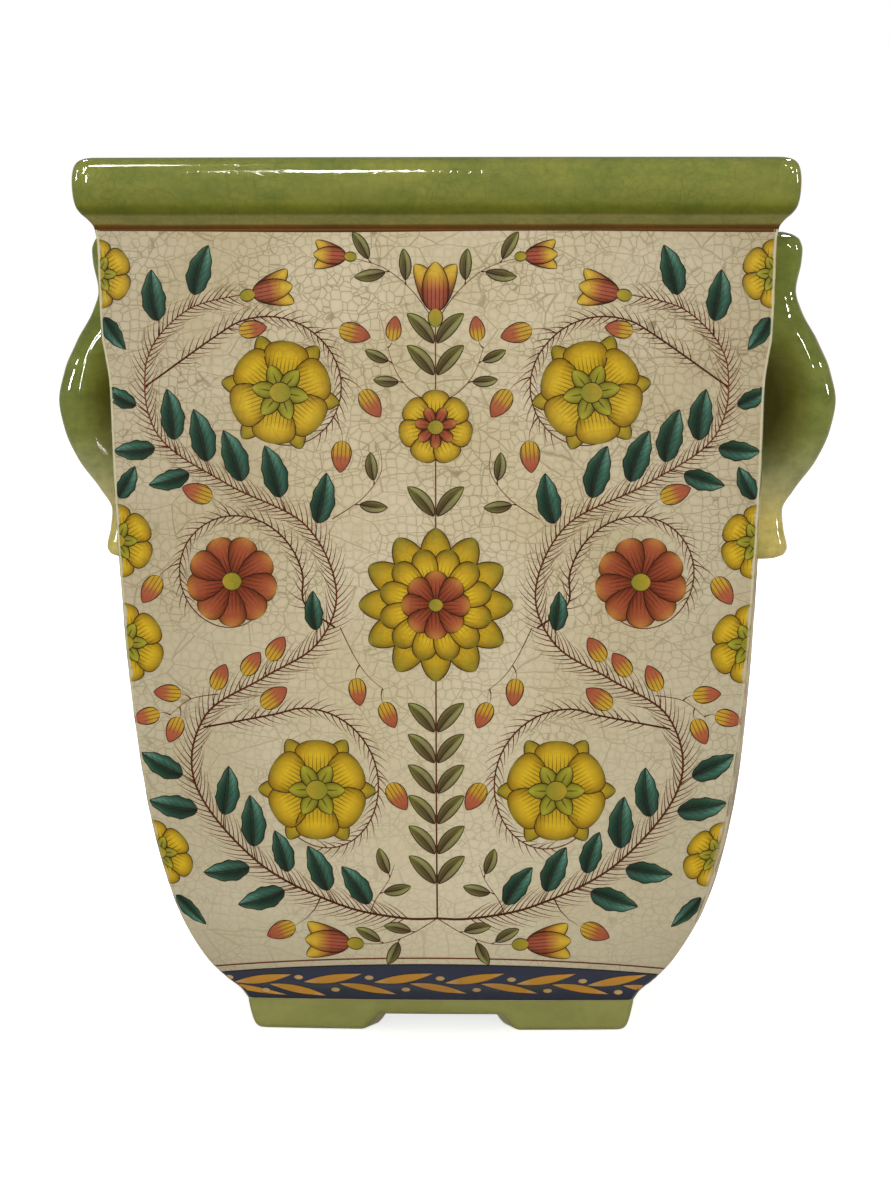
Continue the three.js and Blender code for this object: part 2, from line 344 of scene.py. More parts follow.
def carried(half, z, swell, radius, shares, corner_steps):
    """Section carried round the plan: one line of points for each place on the plan,
    which is a parabola of the swell's height on a face and an arc of the radius at a
    corner. Half and z have a row for each place of a side, or one row for them all."""
    turns = np.arange(1, corner_steps) / corner_steps
    share = np.concatenate([shares, np.ones(corner_steps - 1)])[:, None]
    turn = np.concatenate([np.zeros(len(shares)), turns])[:, None]
    flat = half - radius
    angle = turn * math.pi / 2
    x = share * flat + radius * np.sin(angle)
    out = np.where(turn > 0, flat + radius * np.cos(angle), half + swell * (1 - share ** 2))
    side = np.stack(np.broadcast_arrays(x, -out, z), axis=-1)
    return np.concatenate([turned(side, quarter) for quarter in range(4)])


# %% Rim moulding
RIM_ROLL = np.array([
    [0.0, 0.0], [0.06, 0.05], [0.19, 0.1], [0.37, 0.155], [0.6, 0.215], [0.8, 0.295], [0.91, 0.39],
    [0.97, 0.5], [1.0, 0.64], [0.985, 0.75], [0.94, 0.83], [0.85, 0.9], [0.66, 0.957], [0.34, 0.99],
    [-0.05, 1.0], [-0.42, 0.985], [-0.74, 0.93], [-0.93, 0.84], [-0.99, 0.72],
])
INNER_HALF = MOUTH_HALF - WALL_THICKNESS
COVE_RADIUS = 0.6
roll = through(RIM_ROLL, 4)
rim_half = np.concatenate([MOUTH_HALF + roll[:, 0] * RIM_OVERHANG, [INNER_HALF, INNER_HALF]])
rim_z = RIM_BOTTOM + RIM_HEIGHT * np.concatenate([roll[:, 1], [0.5, 0.0]])
rim_radius = COVE_RADIUS + np.maximum(rim_half - MOUTH_HALF, 0) * 0.8
rim_shares = np.linspace(-1, 1, 49)
rim_points = carried(rim_half[None], rim_z[None], RIM_SWELL, rim_radius[None], rim_shares, 10)
rim_faces = quads(len(rim_points), rim_points.shape[1], True, True)[:, ::-1]
rim = add_piece("rim_roll", rim_points.reshape(-1, 3), rim_faces)
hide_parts("rim_moulding")

# %% Bracket foot
FOOT_SECTION = np.array([
    [0.0, 1.0], [0.04, 0.7], [0.09, 0.42], [0.135, 0.24], [0.19, 0.1],
    [0.31, 0.0], [0.66, 0.0], [0.94, 0.0], [1.0, 0.09], [1.0, 1.0],
])
NOTCH = np.array([[0.0, 1.0], [0.12, 0.94], [0.3, 0.72], [0.55, 0.34], [0.82, 0.06], [1.0, 0.0]])
NOTCH_HEIGHT = 5.8
NOTCH_HALF = 23
NOTCH_RUN = 8
FOOT_HALF = MOUTH_HALF * WALL_STATIONS[0, 1]
FOOT_RADIUS = 2.5
FOOT_CORNER_STEPS = 8
ROUNDED_POINTS = 7
reach = FOOT_HALF - FOOT_RADIUS
one_side = np.concatenate([np.linspace(0, 21, 12), np.linspace(22, 33, 34), np.linspace(36, reach, 14)])
foot_x = np.concatenate([-one_side[:0:-1], one_side])
raised = NOTCH_HEIGHT * smooth(NOTCH, 1)((np.abs(foot_x) - NOTCH_HALF) / NOTCH_RUN)
raised = np.concatenate([raised, np.zeros(FOOT_CORNER_STEPS - 1)])[:, None]
rounded = through(FOOT_SECTION[:ROUNDED_POINTS], 3)
section = np.maximum(np.concatenate([rounded, FOOT_SECTION[ROUNDED_POINTS:]]), 0)
foot_half = FOOT_HALF - section[None, :, 0] * FOOT_WIDTH
foot_z = raised + section[None, :, 1] * (FOOT_HEIGHT - raised)
foot_points = carried(foot_half, foot_z, FOOT_SWELL, FOOT_RADIUS, foot_x / reach, FOOT_CORNER_STEPS)
foot_faces = quads(len(foot_points), foot_points.shape[1], True, True)
foot = add_piece("foot_bracket", foot_points.reshape(-1, 3), foot_faces)
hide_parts("foot_ring")

# %% [markdown]
# ## Lug handles
# Each handle is a solid lug, pulled by hand and pressed on to the wall: a bulb under
# the rim, a neck, a wide belly dished front and back for finger and thumb, and a small
# pad at its foot. It is a level section that changes with height. The dish is kept as
# a value on the points too, because the green glaze pooled there and fired darker, and
# because the hollow is painted darker still with the shade that falls in it.

# %% Handles
HANDLE_HEIGHT = 123.5
HANDLE_BOTTOM = 169.0
HANDLE_REACH = 30.4
HANDLE_BREADTH = 18.0
DISH_DEPTH = 11.5
DISH_REACH = 22.0
DISH_HALF_HEIGHT = 32.0

# Share of the height, of the reach off the wall and of the half breadth
HANDLE_STATIONS = np.array([
    [0.0, 0.30, 0.50], [0.01, 0.405, 0.66], [0.03, 0.446, 0.75], [0.09, 0.391, 0.69],
    [0.147, 0.365, 0.64], [0.21, 0.503, 0.69], [0.30, 0.763, 0.86], [0.395, 0.934, 0.97],
    [0.485, 1.0, 1.0], [0.575, 0.918, 0.97], [0.665, 0.727, 0.86], [0.76, 0.510, 0.69],
    [0.82, 0.441, 0.64], [0.91, 0.507, 0.67], [0.945, 0.516, 0.68], [0.975, 0.470, 0.61],
    [0.993, 0.368, 0.46], [1.0, 0.26, 0.30],
])


def dish(off, z):
    """Depth of the finger dish at a distance off the wall: a soft hollow over an
    ellipse, (1 - far)^1.5 with far the squared distance from its middle."""
    middle = HANDLE_BOTTOM + 0.475 * HANDLE_HEIGHT
    far = (off / DISH_REACH) ** 2 + ((z - middle) / DISH_HALF_HEIGHT) ** 2
    return DISH_DEPTH * np.maximum(1 - far, 0) ** 1.5


SUNK = 0.6
even = np.linspace(0, 1, 141)[:, None]
height_share = even - 0.09 * np.sin(2 * math.pi * even)
handle_z = HANDLE_BOTTOM + height_share * HANDLE_HEIGHT
reach = HANDLE_REACH * smooth(HANDLE_STATIONS, 1)(height_share)
breadth = HANDLE_BREADTH * smooth(HANDLE_STATIONS, 2)(height_share)
round_section = np.linspace(-1, 1, 65)[None, :] * math.pi / 2

# A level section stands off the wall by its reach times cos^0.85, and to each side by
# its half breadth times sin^0.75 less the dish, with a lip of 1.6 mm along the wall.
off = reach * np.cos(round_section) ** 0.85
flank = breadth * np.abs(np.sin(round_section)) ** 0.75 - dish(off, handle_z)
flare = 1.6 * np.exp(-off / 1.5)
handle_y = np.sign(round_section) * np.maximum(flank + flare, 0)
on_wall = wall_half(handle_z) + wall_swell(handle_z) * (1 - (handle_y / wall_half(handle_z)) ** 2)
handle_points = np.stack(np.broadcast_arrays(on_wall + off - SUNK, handle_y, handle_z), axis=-1)
rows, columns = handle_points.shape[:2]
number = np.arange(rows * columns).reshape(rows, columns)
ends = [number[0, ::-1].tolist(), number[-1].tolist()]
handle_faces = quads(rows, columns, close_columns=True).tolist() + ends
# How deep the dish is here, from 0 to 1, which darkens the glaze both for glaze that pooled and as painted
# shade in the hollow.
pool_and_shade = (dish(off, handle_z) / DISH_DEPTH).ravel()
handles = []
for name, quarter in (("handle_right", 0), ("handle_left", 2)):
    points = turned(handle_points.reshape(-1, 3), quarter)
    piece = add_piece(name, points, handle_faces, {"pool_and_shade": pool_and_shade})
    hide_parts(name.split("_")[1] + "_handle")
    handles.append(piece)


# %% [markdown]
# ## Glazes
# A lead or boron glaze on earthenware has an index of refraction near 1.5 and a
# fire-polished surface, so it mirrors lamps sharply but lies in slow waves. The cream
# glaze shrank more than the clay and crackled: fine cells of about 3 mm and longer
# cracks about 17 mm apart, both stained by use, most of all high on the wall. The
# green of the rim is crackled too, more faintly. Patterns read Object coordinates, so
# one crack runs on from slab to slab and across the print.


# %% Colours and nodes
def linear(written):
    """Linear colour from sRGB hex, by the sRGB curve."""
    channels = [int(written[i:i + 2], 16) / 255 for i in (1, 3, 5)]
    return [c / 12.92 if c <= 0.04045 else ((c + 0.055) / 1.055) ** 2.4 for c in channels] + [1.0]


def add(tree, kind, *inputs, out=0, stops=(), **settings):
    """Adds one shader node and gives back one of its outputs. Inputs are values or
    other nodes' outputs, in the order of the node's sockets or in a dict. Stops are
    the places and colours of a ramp, and the rest are the node's own settings."""
    made = tree.nodes.new("ShaderNode" + kind)
    for name, value in settings.items():
        setattr(made, name, value)
    keyed = inputs[0] if inputs and isinstance(inputs[0], dict) else dict(enumerate(inputs))
    for key, value in keyed.items():
        if isinstance(value, bpy.types.NodeSocket):
            tree.links.new(value, made.inputs[key])
        else:
            made.inputs[key].default_value = value
    if stops:
        ramp = made.color_ramp.elements
        for _ in stops[2:]:
            ramp.new(1.0)
        for element, (place, colour) in zip(ramp, stops):
            element.position = place
            element.color = linear(colour)
    return made.outputs[out] if made.outputs else None


def start_material(name, labels=()):
    """Empty node material, and what its patterns read: the point values named, the
    place in metres and its height."""
    material = bpy.data.materials.new(name)
    material.use_nodes = True
    tree = material.node_tree
    tree.nodes.clear()
    at = {label: add(tree, "Attribute", attribute_name=label, out="Fac") for label in labels}
    at["place"] = add(tree, "TexCoord", out="Object")
    at["z"] = add(tree, "SeparateXYZ", at["place"], out=2)
    return material, tree, at


def dress(pieces, material):
    """Gives pieces their material and the slot that stands for it."""
    for piece in pieces:
        piece.data.materials.append(material)
    print(material.name, "on", [piece.name for piece in pieces])


# Settings of a Mix node that blends two colours, and of one that multiplies them
BLEND = {"data_type": "RGBA", "out": 2}
TINT = {**BLEND, "blend_type": "MULTIPLY"}


# %% Crackle and gloss that the glazes share
FINE_CELL = 0.0032
LONG_CELL = 0.017
CRACK_DEPTH = 0.00001


def crackle(tree, at):
    """Cracks as a value from 0 to 1: the borders of two Voronoi nets, one of 3.2 mm
    cells and one of cells 17 mm wide and 9 mm tall, bent by noise and fading in and
    out. A faint shade lines each small cell, as the stain spreads into the clay, and
    the stain is weaker low on the wall."""
    bend = add(tree, "TexNoise", {"Vector": at["place"], "Scale": 85.0, "Detail": 3.0}, out="Color")
    away = add(tree, "VectorMath", bend, (0.5, 0.5, 0.5), operation="SUBTRACT")
    small = add(tree, "VectorMath", {0: away, "Scale": 0.003}, operation="SCALE")
    bent = add(tree, "VectorMath", at["place"], small)
    wide = add(tree, "Mapping", {"Vector": bent, "Rotation": (0.12, 0.18, 0.0), "Scale": (1.0, 1.0, 1.9)})
    fine = add(tree, "TexVoronoi", {"Vector": bent, "Scale": 1 / FINE_CELL, "Randomness": 0.7},
               feature="DISTANCE_TO_EDGE")
    coarse = add(tree, "TexVoronoi", {"Vector": wide, "Scale": 1 / LONG_CELL}, feature="DISTANCE_TO_EDGE")
    fine_line = add(tree, "MapRange", fine, 0.0, 0.075, 0.8, 0.0, interpolation_type="SMOOTHSTEP")
    long_line = add(tree, "MapRange", coarse, 0.0, 0.026, 0.65, 0.0, interpolation_type="SMOOTHSTEP")
    spread = add(tree, "MapRange", fine, 0.0, 0.35, 0.16, 0.0)
    patch = add(tree, "TexNoise", {"Vector": at["place"], "Scale": 45.0, "Detail": 3.0})
    shown = add(tree, "MapRange", patch, 0.36, 0.62, 0.35, 1.0)
    faded = add(tree, "Math", fine_line, shown, operation="MULTIPLY")
    joined = add(tree, "Math", faded, long_line, operation="MAXIMUM")
    joined = add(tree, "Math", joined, spread, operation="MAXIMUM")
    stained = add(tree, "MapRange", at["z"], 0.06, 0.19, 0.5, 1.0)
    return add(tree, "Math", joined, stained, operation="MULTIPLY")


def glossy(tree, at, colour, cracks=None, roughness=0.12, wave=0.0005):
    """Glaze shader: a dielectric of index 1.5 over waves from 30 mm down to 4 mm long,
    with the height of the cracks taken off it where they are given."""
    swell = add(tree, "TexNoise", {"Vector": at["place"], "Scale": 32.0, "Detail": 3.0, "Roughness": 0.45})
    height = add(tree, "Math", swell, wave, operation="MULTIPLY")
    if cracks is not None:
        groove = add(tree, "Math", cracks, -CRACK_DEPTH, operation="MULTIPLY")
        height = add(tree, "Math", height, groove)
    bump = add(tree, "Bump", {"Height": height, "Distance": 1.0, "Strength": 1.0})
    shader = add(tree, "BsdfPrincipled", {
        "Base Color": colour, "Roughness": roughness, "IOR": 1.5, "Normal": bump,
    })
    add(tree, "OutputMaterial", shader)


# %% Cream crackle glaze over buff clay
CRACK_STAIN = linear("#aca28c")
ARRIS_PALE = linear("#dcd6ac")


def cream_ground(tree, at):
    """Cream that drifts between a greyer and a warmer tone over some 40 mm, is paler and
    greyer low on the wall, and grows darker within some 80 mm of an arris: painted
    shade, so that the middle of each face looks more lit than its sides."""
    drift = add(tree, "TexNoise", {"Vector": at["place"], "Scale": 24.0, "Detail": 3.0})
    tone = add(tree, "ValToRGB", drift, stops=[(0.35, "#d5c49c"), (0.65, "#dfd0ad")])
    low = add(tree, "MapRange", at["z"], 0.07, 0.19, 0.4, 0.0)
    tone = add(tree, "Mix", {0: low, 6: tone, 7: linear("#ded5b7")}, **BLEND)
    # Painted shade: the cream is multiplied darker towards each arris.
    inward = add(tree, "MapRange", at["arris"], 0.0, 80.0)
    edge_shade = add(tree, "ValToRGB", inward, stops=[(0.0, "#ebebeb"), (1.0, "#ffffff")])
    return add(tree, "Mix", {0: 1.0, 6: tone, 7: edge_shade}, **TINT)


def under_glaze(tree, at, colour, cracks, shown=1.0):
    """Colour as seen through the crackled glaze: stained along the cracks as strongly
    as shown says, and pale where the glaze thins over an arris, most of all above some
    180 mm and least below 100 mm."""
    part = add(tree, "Math", cracks, shown, operation="MULTIPLY")
    cracked = add(tree, "Mix", {0: part, 6: colour, 7: CRACK_STAIN}, **TINT)
    pale_by_height = add(tree, "MapRange", at["z"], 0.1, 0.18, 0.25, 0.9)
    thin = add(tree, "MapRange", at["arris"], 0.35, 1.0, pale_by_height, 0.0, interpolation_type="SMOOTHSTEP")
    return add(tree, "Mix", {0: thin, 6: cracked, 7: ARRIS_PALE}, **BLEND)


cream, tree, at = start_material("cream_crackle_glaze_on_earthenware", ["arris"])
cracks = crackle(tree, at)
glossy(tree, at, under_glaze(tree, at, cream_ground(tree, at), cracks), cracks)
dress(walls, cream)

# The floor inside has the same cream, which has not crackled there and shines less.
lining, tree, at = start_material("plain_lining_glaze", ["arris"])
glossy(tree, at, cream_ground(tree, at), roughness=0.3)
floor_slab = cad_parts["floor_slab"]
floor_slab.data.materials.clear()
floor_slab.data.materials.append(lining)


# %% [markdown]
# ## Green glazes
# Copper gives a lead glaze its green. On the rim the roll is pale above and dark below:
# partly the glaze, which ran off the roll's edge, and partly painted light and shade, as
# its top faces the light and its underside turns away from it. A brown line shows where
# the glaze stops. On the handles it pooled in the dishes, almost black, which is partly
# painted shade in the hollows, and it fades to cream on the pads, where little was
# brushed on. On the foot it lies thin and even, and shines less.


# %% Green glazes
def mottled(tree, at, low, high, coarse=40.0):
    """Green that breaks into lighter and darker clouds of some 25 mm, drawn out level,
    with a fine speckle of 2 mm, as a copper glaze does where it runs thick and thin."""
    level = add(tree, "Mapping", {"Vector": at["place"], "Scale": (1.0, 1.0, 2.0)})
    cloud = add(tree, "TexNoise", {"Vector": level, "Scale": coarse, "Detail": 4.0, "Roughness": 0.6})
    speck = add(tree, "TexNoise", {"Vector": at["place"], "Scale": 420.0, "Detail": 2.0})
    mixed = add(tree, "Mix", {0: 0.25, 2: cloud, 3: speck})
    return add(tree, "ValToRGB", mixed, stops=[(0.38, low), (0.62, high)])


def by_height(tree, at, low, high, stops, wobble):
    """Colour ramp over the height between two levels in millimetres, with an edge
    that wanders by the wobble in metres."""
    drift = add(tree, "TexNoise", {"Vector": at["place"], "Scale": 60.0, "Detail": 1.0})
    shift = add(tree, "Math", drift, wobble, operation="MULTIPLY")
    moved = add(tree, "Math", at["z"], shift)
    share = add(tree, "MapRange", moved, low * MM, high * MM)
    return add(tree, "ValToRGB", share, stops=stops)


# Painted light and shade in part: the roll is painted lighter towards its top, which faces the light, and
# darker where it turns under. The brown line at the bottom is paint.
RIM_BANDS_AND_SHADE = [
    (0.0, "#583004"), (0.065, "#7c5214"), (0.09, "#9c9662"), (0.19, "#9f996e"), (0.225, "#727420"),
    (0.31, "#7a7f26"), (0.385, "#92974e"), (0.5, "#999e5c"), (0.7, "#a3a964"), (1.0, "#b0b674"),
]
rim_green, tree, at = start_material("green_copper_glaze_on_rim")
bands_and_shade = by_height(tree, at, RIM_BOTTOM, RIM_BOTTOM + RIM_HEIGHT, RIM_BANDS_AND_SHADE, 0.0005)
tint = mottled(tree, at, "#bec698", "#e6e2b0")
cracks = crackle(tree, at)
part = add(tree, "Math", cracks, 0.35, operation="MULTIPLY")
green = add(tree, "Mix", {0: 1.0, 6: bands_and_shade, 7: tint}, **TINT)
green = add(tree, "Mix", {0: part, 6: green, 7: CRACK_STAIN}, **TINT)
glossy(tree, at, green, cracks, roughness=0.07, wave=0.0006)
dress([rim], rim_green)

foot_green, tree, at = start_material("green_copper_glaze_on_foot")
glossy(tree, at, mottled(tree, at, "#90904c", "#9c9d57"), roughness=0.3)
dress([foot], foot_green)

FADE_TOP = 293
HANDLE_BANDS = [
    (0.0, "#ead686"), (0.13, "#e4cf84"), (0.22, "#c0b78a"), (0.3, "#a5a676"),
    (0.4, "#8a914c"), (0.8, "#828b40"), (1.0, "#868f44"),
]
handle_green, tree, at = start_material("green_glaze_fading_to_cream_on_handles", ["pool_and_shade"])
fade = by_height(tree, at, HANDLE_BOTTOM, FADE_TOP, HANDLE_BANDS, 0.004)
tint = mottled(tree, at, "#d4dabe", "#ffffe8", 70.0)
# Painted shade in part: the dish is darkened almost to black, partly for the glaze that pooled there and
# partly for the shade in the hollow.
dish_shade = add(tree, "MapRange", at["pool_and_shade"], 0.08, 0.8, 0.0, 0.94)
green = add(tree, "Mix", {0: 1.0, 6: fade, 7: tint}, **TINT)
green = add(tree, "Mix", {0: dish_shade, 6: green, 7: linear("#3e3c00")}, **BLEND)
glossy(tree, at, green, roughness=0.05, wave=0.0011)
dress(handles, handle_green)

# %% [markdown]
# ## The print: a flat layout
# The real walls carry a coloured transfer of flowers, laid on before the glaze. The
# one here is a common scrolling vine, mirrored about the middle of each face: a main
# stem in waves, a scroll wound into every bay with a flower at its eye, leaves and
# buds on stalks, and blossoms that turn the corners. It is laid out flat in
# millimetres. Every leaf, petal, bud and hair is one kind of thing, a blade, given by
# its foot, heading, length, half width and bend, so the whole print is a short list.

# %% Stems
SAMPLES = 121


def evenly(path, count=SAMPLES):
    """The same line through points spaced evenly along it."""
    run = np.concatenate([[0], np.cumsum(np.hypot(*np.diff(path, axis=0).T))])
    at = np.linspace(0, run[-1], count)
    return np.stack([np.interp(at, run, path[:, 0]), np.interp(at, run, path[:, 1])], axis=-1)


def fitted(path):
    """A layout drawn on a straight-sided panel, drawn in with the wall as it narrows."""
    return np.stack([path[:, 0] * wall_half(path[:, 1]) / MOUTH_HALF, path[:, 1]], axis=-1)


def wander(*points, steps=12):
    """Stem through points of the straight-sided panel."""
    return evenly(fitted(evenly(through(points, steps), 400)))


def scroll(lead, eye, start, sweep, outer, inner):
    """Stem that passes the lead point and winds into a scroll: its bearing from the
    eye turns evenly while its distance closes from outer to inner."""
    t = np.linspace(0, 1, 24)
    bearing = np.radians(start + sweep * t)
    radius = outer + (inner - outer) * t ** 0.85
    spiral = np.stack([eye[0] + radius * np.cos(bearing), eye[1] + radius * np.sin(bearing)], axis=-1)
    return wander(lead, *spiral, steps=8)


def stand(path, share):
    """Place and heading in degrees at a share of a stem's length."""
    i = np.asarray(share) * (len(path) - 1)
    x = np.interp(i, np.arange(len(path)), path[:, 0])
    z = np.interp(i, np.arange(len(path)), path[:, 1])
    slope = np.gradient(path, axis=0)
    heading = np.degrees(np.unwrap(np.arctan2(slope[:, 1], slope[:, 0])))
    return x, z, np.interp(i, np.arange(len(path)), heading)


# %% Collecting the print
STEM_LIFT = 0.03
LEAF_LIFT = 0.06
printed = {}
stems = []


def blades(*columns):
    """Rows of blades: foot across and up, heading, length, half width, bend, lift and
    tint. A single number holds for them all."""
    return np.stack([np.ravel(column).astype(float) for column in np.broadcast_arrays(*columns)], axis=-1)


def put(kind, x, z, heading, length, width, bend=0, lift=LEAF_LIFT, tint=0.5, spread="pair"):
    """Adds blades of one kind. A spread is pair for a motif and its mirror image, once
    for one on the middle of the face, and corner for one about an arris."""
    rows = blades(x, z, heading, length, width, bend, lift, tint)
    printed.setdefault((kind, spread), []).append(rows)


def grow(path, width=0.35, tip=0.2, hairs=0, spread="pair", start=0.03, stop=0.6, longest=8):
    """Adds a stem, with fine hairs on both sides that lean forward where hairs says
    how many millimetres stand between them."""
    stems.append((path, width, tip, spread))
    if hairs:
        length = np.hypot(*np.diff(path, axis=0).T).sum()
        count = int(length * (stop - start) / hairs)
        share = np.linspace(start, stop, count)
        x, z, heading = stand(path, share)
        side = np.where(np.arange(count) % 2 == 0, 1.0, -1.0)
        vary = 0.5 + 0.5 * np.sin(np.arange(count) * 2.4)
        size = longest * (0.78 + 0.22 * vary) * (1 - 0.3 * share)
        put("hairs", x, z, heading + side * (30 + 5 * vary), size, 0.22, -side * 26, STEM_LIFT, vary, spread)


def leaf_on(path, share, side, kind="teal_leaves", length=17, width=3.9, stalk=5, lean=42, tint=0.5):
    """Adds a leaf on a short stalk that leaves a stem on its left, side 1, or right."""
    x, z, heading = stand(path, share)
    away = np.radians(heading + side * lean)
    put("hairs", x, z, np.degrees(away), stalk + 1, 0.3, side * 8, STEM_LIFT, 0.3)
    put(kind, x + stalk * np.cos(away), z + stalk * np.sin(away), np.degrees(away) + side * 4, length, width,
        -side * 16, tint=tint)


def bud_on(path, share, side, reach=9, size=8, lean=50):
    """Adds a bud on a thin curved stalk."""
    x, z, heading = stand(path, share)
    away = heading + side * lean
    put("hairs", x, z, away, reach, 0.26, -side * 50, STEM_LIFT, 0.4)
    start = np.radians(away + side * 25)
    turn = np.radians(-side * 50)
    chord = reach * np.sinc(turn / 2 / math.pi)
    tip = start + turn / 2
    put("buds", x + chord * np.cos(tip), z + chord * np.sin(tip), np.degrees(start + turn), 1.25 * size,
        size * 0.4)


def blossom(x, z, radius, first=90, petals=6, kind="yellow_petals", spread="pair", lift=0.07,
            wide=0.46, tint=0.5, inner=None, behind=None):
    """Adds an open blossom: a whorl of petals about a round heart, each a little
    higher than the last. A smaller whorl on it and one behind it are named if wanted."""
    turn = first + np.arange(petals) * 360 / petals
    rank = 0.004 * np.arange(petals)
    start = np.radians(turn)
    put(kind, x + 0.12 * radius * np.cos(start), z + 0.12 * radius * np.sin(start), turn, radius * 0.88,
        radius * wide, 0, lift + rank, tint, spread)
    half_turn = turn + 180 / petals
    if inner:
        put(inner, x, z, half_turn, radius * 0.56, radius * 0.17, 0, lift + 0.05 + rank / 2, tint, spread)
    if behind:
        put(behind, x, z, half_turn, radius * 1.16, radius * 0.22, 0, lift - 0.03 + rank / 2, tint, spread)
    size = radius * 0.21
    put("hearts", x - size, z, 0, 2 * size, size, 0, lift + 0.09, tint, spread)


def tulip(x, z, size, heading, spread="pair", lift=0.08, tint=0.5):
    """Adds a flower seen from the side: two outer petals that curl away, a middle
    petal over them and a small round calyx."""
    side = np.array([-1.0, 1.0])
    put("tulip_petals", x, z, heading + side * 24, size, size * 0.23, side * 34, lift, tint, spread)
    put("tulip_petals", x, z, heading, size * 0.95, size * 0.27, 0, lift + 0.015, tint + 0.2, spread)
    back = np.radians(heading)
    r = size * 0.15
    put("hearts", x - 2 * r * np.cos(back), z - 2 * r * np.sin(back), heading, 2.4 * r, r, 0,
        lift + 0.03, 0.9, spread)


def sprig(path, shares, length=10):
    """Adds a thin stem with leaves on alternate sides."""
    grow(path, 0.34)
    for i, share in enumerate(shares):
        leaf_on(path, share, 1 - 2 * (i % 2), "olive_leaves", length, 2.2, 1.5, 38, tint=0.3 + 0.2 * (i % 3))


# %% Main stem and its three scrolls
def eye(u, v):
    """Place of a scroll's eye on the face."""
    return fitted(np.array([[float(u), float(v)]]))[0]


main = wander((0, 47), (16, 47), (44, 52), (76, 67), (97, 95), (90, 120), (66, 134), (45, 146), (37, 165),
              (48, 188), (76, 202), (101, 219), (104, 243), (88, 262), (67, 268))
grow(main, 0.9, 0.45, hairs=1.15, longest=12.5, stop=0.985)
low = scroll((91, 116), (48, 94), 60, 500, 31, 10)
mid = scroll((38, 152), (76, 168), 196, -500, 28, 9)
top = scroll((105, 236), (56, 234), 42, 470, 29, 9)
for path, start in ((low, 0.05), (mid, 0.06), (top, 0.08)):
    grow(path, 0.7, 0.3, hairs=1.5, start=start)
blossom(*eye(48, 94), 18, inner="sepals", behind="yellow_points")
blossom(*eye(76, 168), 16, first=70, petals=9, kind="coral_petals", wide=0.34)
blossom(*eye(56, 234), 18, first=40, inner="sepals", behind="yellow_points")

# %% Leaves and buds along the stems
for share, side, length in (
    (0.145, -1, 18), (0.185, -1, 17), (0.26, -1, 18), (0.295, -1, 17),
    (0.06, 1, 17), (0.105, 1, 18), (0.15, 1, 16), (0.195, 1, 19), (0.24, 1, 18),
    (0.50, -1, 14), (0.615, 1, 18), (0.655, 1, 19), (0.695, 1, 19), (0.735, 1, 19), (0.775, 1, 18),
    (0.745, -1, 15), (0.785, -1, 15), (0.825, -1, 13), (0.905, -1, 18), (0.945, -1, 18),
):
    leaf_on(main, share, side, length=length, width=0.235 * length)
cluster = wander((36, 152), (31, 142), (26, 135), (20, 130))
side_cluster = wander((84, 128), (95, 126), (104, 120))
for path, side, reach, size, shares in (
    (main, -1, 6, 8, (0.38, 0.41, 0.44)),
    (low, -1, 5, 9, (0.1, 0.4)),
    (mid, 1, 9, 9, (0.36, 0.52)),
    (top, -1, 9, 9, (0.38, 0.48, 0.56)),
    (top, 1, 4, 8, (0.2,)),
    (cluster, 1, 5, 8, (0.55, 0.98)),
    (side_cluster, 1, 4, 8, (0.5, 0.98)),
    (side_cluster, -1, 4, 8, (0.75,)),
):
    for share in shares:
        bud_on(path, share, side, reach, size)
bud_on(main, 0.12, -1, 15, 9, lean=72)
grow(cluster)
grow(side_cluster)

# %% Middle stem
axis = np.stack([np.zeros(SAMPLES), np.linspace(47, 262, SAMPLES)], axis=-1)
grow(axis, 0.6, 0.45, spread="once")
put("olive_leaves", 0.6, (60, 71, 82, 93, 104, 115, 191, 240, 251), 48, 14, 2.7, -26)
blossom(0, 160, 27, petals=12, kind="yellow_points", wide=0.2, spread="once", lift=0.1)
blossom(0, 160, 20, first=75, petals=12, wide=0.24, spread="once", lift=0.2, tint=0.8)
blossom(0, 160, 12, petals=8, kind="coral_petals", wide=0.36, spread="once", lift=0.3, tint=0.8)
blossom(0, 222, 13, petals=7, wide=0.4, spread="once", lift=0.1, inner="coral_petals")
tulip(0, 262, 18, 90, spread="once")

# %% Sprigs that fill the ground
foot_sprig = wander((0, 47), (12, 41), (26, 37), (42, 37))
head_sprig = wander((0, 258), (8, 269), (18, 277), (31, 281))
sprig(foot_sprig, (0.28, 0.46, 0.64))
sprig(head_sprig, (0.42, 0.6, 0.78), length=11)
sprig(wander((38, 190), (27, 197), (20, 206), (20, 214)), (0.3, 0.6))
tulip(*stand(foot_sprig, 1.0)[:2], 17, 4)
tulip(*stand(head_sprig, 1.0)[:2], 12, 4)
end_x, end_z, end_heading = stand(main, 1.0)
tulip(end_x - 3, end_z, 15, end_heading)
collar = wander((0, 230), (8, 234), (14, 241), (17, 250))
grow(collar, 0.34)
for share in (0.5, 0.78):
    leaf_on(collar, share, -1, "olive_leaves", 9, 2, 1.5)
bud_on(collar, 0.98, 1, reach=3, size=7)
sprig(wander((30, 49), (27, 54), (21, 61), (18, 67)), (0.4, 0.75))

# %% Motifs that turn the corners
for z, radius in ((70, 12), (146, 14), (182, 13), (275, 12)):
    blossom(0, z, radius, spread="corner", wide=0.44, inner="sepals")
for z, lean in ((54, -30), (197, 30), (260, -30)):
    for side in (-1, 1):
        upright = 90 if lean > 0 else -90
        put("teal_leaves", side * 1.5, z, upright - side * lean, 13, 3.2, side * 12, spread="corner")
blade_count = sum(len(rows) for found in printed.values() for rows in found)
print(len(stems), "stems and", blade_count, "blades, before they are mirrored and carried to four faces")

